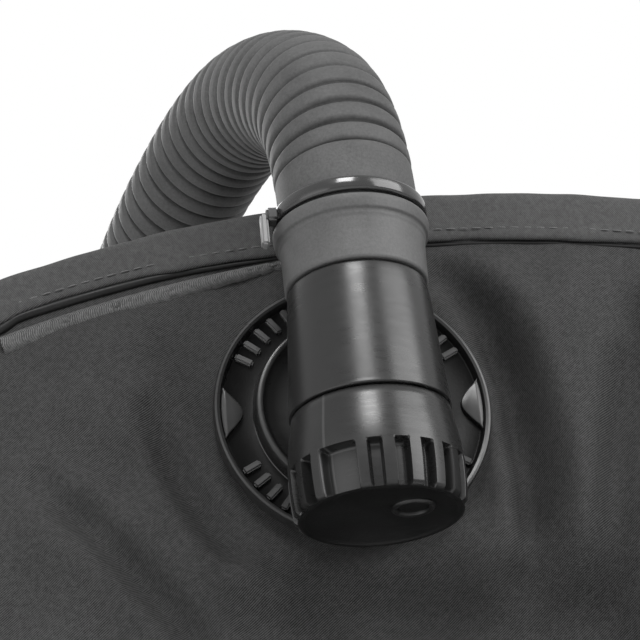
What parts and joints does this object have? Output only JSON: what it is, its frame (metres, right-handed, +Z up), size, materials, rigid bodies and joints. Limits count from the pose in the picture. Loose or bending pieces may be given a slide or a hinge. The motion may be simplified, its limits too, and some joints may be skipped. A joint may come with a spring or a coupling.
{
  "type": "buoyancy compensator vest",
  "caption": "Scuba jacket with air bladder, tank backpack and cam band, corrugated inflator hose on an exhaust elbow, dump valves, pockets and buckles.",
  "frame": {"origin": "centre of the tank band's bore, at the middle of the webbing's width", "axes": "+Z up along the tank, +Y to the rear, away from the wearer, who faces -Y, and +X to the wearer's left"},
  "size_m": [0.44, 0.5207, 0.6155],
  "materials": {
    "bladder_fabric": "coated woven nylon, fine diagonal weave",
    "padding": "laminated mesh and nylon over foam",
    "binding_tape": "folded woven edging tape",
    "webbing": "ribbed polyester webbing",
    "moulded_plastic": "fine-textured acetal",
    "valve_plastic": "satin moulded nylon",
    "clamp_plastic": "glossy black",
    "hose_rubber": "semi-matt grey rubber",
    "seal_rubber": "matt silicone",
    "button_plastic": "satin grey",
    "steel": "passivated stainless steel",
    "pull_cord": "braided cord"
  },
  "bodies": {
    "vest": {"back_pad": "padding", "backpack": "moulded_plastic", "cam_base": "moulded_plastic", "cam_pin": "steel", "chest_socket": "moulded_plastic", "corrugated_hose": "hose_rubber", "dump_valve_bodies": "valve_plastic", "edge_binding": "binding_tape", "elbow_body": "valve_plastic", "elbow_cap": "valve_plastic", "elbow_spring": "steel", "flange_gasket": "seal_rubber", "handle_keepers": "webbing", "hose_clamps": "clamp_plastic", "hose_collar": "hose_rubber", "hose_keeper": "webbing", "inflator_body": "valve_plastic", "left_cummerbund": "padding", "left_front_lobe": "bladder_fabric", "left_pocket": "bladder_fabric", "left_shoulder_strap": "padding", "lp_nipple": "steel", "mouthpiece": "seal_rubber", "pack_screws": "steel", "rear_air_cell": "bladder_fabric", "retaining_flange": "valve_plastic", "right_cummerbund": "padding", "right_front_lobe": "bladder_fabric", "right_pocket": "bladder_fabric", "right_shoulder_strap": "padding", "ring_keepers": "webbing", "shoulder_sockets": "moulded_plastic", "strap_webbing": "webbing", "tank_band": "webbing", "waist_socket": "moulded_plastic", "weight_sleeves": "bladder_fabric", "zip_tracks": "moulded_plastic"},
    "cam_lever": {"cam_lever": "moulded_plastic"},
    "left_shoulder_prong": {"left_shoulder_prong": "moulded_plastic"},
    "right_shoulder_prong": {"right_shoulder_prong": "moulded_plastic"},
    "chest_prong": {"chest_prong": "moulded_plastic"},
    "waist_prong": {"waist_prong": "moulded_plastic"},
    "left_zip_slider": {"left_zip_slider": "steel"},
    "right_zip_slider": {"right_zip_slider": "steel"},
    "left_weight_pouch": {"left_weight_pouch": "bladder_fabric"},
    "right_weight_pouch": {"right_weight_pouch": "bladder_fabric"},
    "left_shoulder_ring": {"left_shoulder_ring": "steel"},
    "right_shoulder_ring": {"right_shoulder_ring": "steel"},
    "left_lower_ring": {"left_lower_ring": "steel"},
    "right_lower_ring": {"right_lower_ring": "steel"},
    "carry_handle": {"carry_handle": "moulded_plastic"},
    "elbow_poppet": {"elbow_poppet": "valve_plastic"},
    "inflate_button": {"inflate_button": "valve_plastic"},
    "exhaust_button": {"exhaust_button": "button_plastic"},
    "upper_dump_pull": {"upper_dump_cord": "pull_cord", "upper_dump_knob": "valve_plastic"},
    "lower_dump_pull": {"lower_dump_cord": "pull_cord", "lower_dump_knob": "valve_plastic"},
    "upper_dump_poppet": {"upper_dump_poppet": "valve_plastic"},
    "lower_dump_poppet": {"lower_dump_poppet": "valve_plastic"}
  },
  "joints": [
    {"name": "cam_lever_turn", "type": "hinge", "parent": "vest", "child": "cam_lever", "pos_m": [-0.09964, 0.03868, 0], "axis": [0, 0, 1], "range_deg": [0, 120]},
    {"name": "left_shoulder_release", "type": "slide", "parent": "vest", "child": "left_shoulder_prong", "axis": [0, 0, -1], "range_m": [0, 0.025]},
    {"name": "right_shoulder_release", "type": "slide", "parent": "vest", "child": "right_shoulder_prong", "axis": [0, 0, -1], "range_m": [0, 0.025]},
    {"name": "chest_release", "type": "slide", "parent": "vest", "child": "chest_prong", "axis": [-1, 0, 0], "range_m": [0, 0.022]},
    {"name": "waist_release", "type": "slide", "parent": "vest", "child": "waist_prong", "axis": [-1, 0, 0], "range_m": [0, 0.03]},
    {"name": "left_zip_run", "type": "hinge", "parent": "vest", "child": "left_zip_slider", "pos_m": [0.08, -0.25, -0.162], "axis": [0, 0, 1], "range_deg": [0, 60]},
    {"name": "right_zip_run", "type": "hinge", "parent": "vest", "child": "right_zip_slider", "pos_m": [-0.08, -0.25, -0.162], "axis": [0, 0, -1], "range_deg": [0, 60]},
    {"name": "left_pouch_pull", "type": "slide", "parent": "vest", "child": "left_weight_pouch", "axis": [0, 0, 1], "range_m": [0, 0.09]},
    {"name": "right_pouch_pull", "type": "slide", "parent": "vest", "child": "right_weight_pouch", "axis": [0, 0, 1], "range_m": [0, 0.09]},
    {"name": "left_shoulder_ring_swing", "type": "hinge", "parent": "vest", "child": "left_shoulder_ring", "pos_m": [0.092, -0.33575, 0.19975], "axis": [-1, 0, 0], "range_deg": [0, 120]},
    {"name": "right_shoulder_ring_swing", "type": "hinge", "parent": "vest", "child": "right_shoulder_ring", "pos_m": [-0.092, -0.33575, 0.19975], "axis": [-1, 0, 0], "range_deg": [0, 120]},
    {"name": "left_lower_ring_swing", "type": "hinge", "parent": "vest", "child": "left_lower_ring", "pos_m": [0.1, -0.34, -0.2926], "axis": [-1, 0, 0], "range_deg": [-60, 95]},
    {"name": "right_lower_ring_swing", "type": "hinge", "parent": "vest", "child": "right_lower_ring", "pos_m": [-0.1, -0.34, -0.2926], "axis": [-1, 0, 0], "range_deg": [-60, 95]},
    {"name": "carry_handle_swing", "type": "hinge", "parent": "vest", "child": "carry_handle", "pos_m": [0, -0.091, 0.218], "axis": [1, 0, 0], "range_deg": [0, 150]},
    {"name": "elbow_exhaust", "type": "slide", "parent": "vest", "child": "elbow_poppet", "axis": [0.0872, 0, 0.9962], "range_m": [0, 0.004], "stiffness_N_per_m": 600, "deforming": ["elbow_spring"]},
    {"name": "inflate_press", "type": "slide", "parent": "vest", "child": "inflate_button", "axis": [-1, 0, 0], "range_m": [0, 0.0035], "stiffness_N_per_m": 500},
    {"name": "exhaust_press", "type": "slide", "parent": "vest", "child": "exhaust_button", "axis": [0, 1, 0], "range_m": [0, 0.003], "stiffness_N_per_m": 500},
    {"name": "upper_dump_pull", "type": "slide", "parent": "vest", "child": "upper_dump_pull", "axis": [0, 0, -1], "range_m": [0, 0.012], "stiffness_N_per_m": 400},
    {"name": "lower_dump_pull", "type": "slide", "parent": "vest", "child": "lower_dump_pull", "axis": [0, 0, -1], "range_m": [0, 0.012], "stiffness_N_per_m": 400},
    {"name": "upper_dump_open", "type": "slide", "parent": "vest", "child": "upper_dump_poppet", "axis": [0, 1, 0], "range_m": [0, 0.003]},
    {"name": "lower_dump_open", "type": "slide", "parent": "vest", "child": "lower_dump_poppet", "axis": [0, 1, 0], "range_m": [0, 0.003]}
  ],
  "couplings": [
    {"joint": "upper_dump_open", "follows": "upper_dump_pull", "ratio": 0.25},
    {"joint": "lower_dump_open", "follows": "lower_dump_pull", "ratio": 0.25}
  ]
}
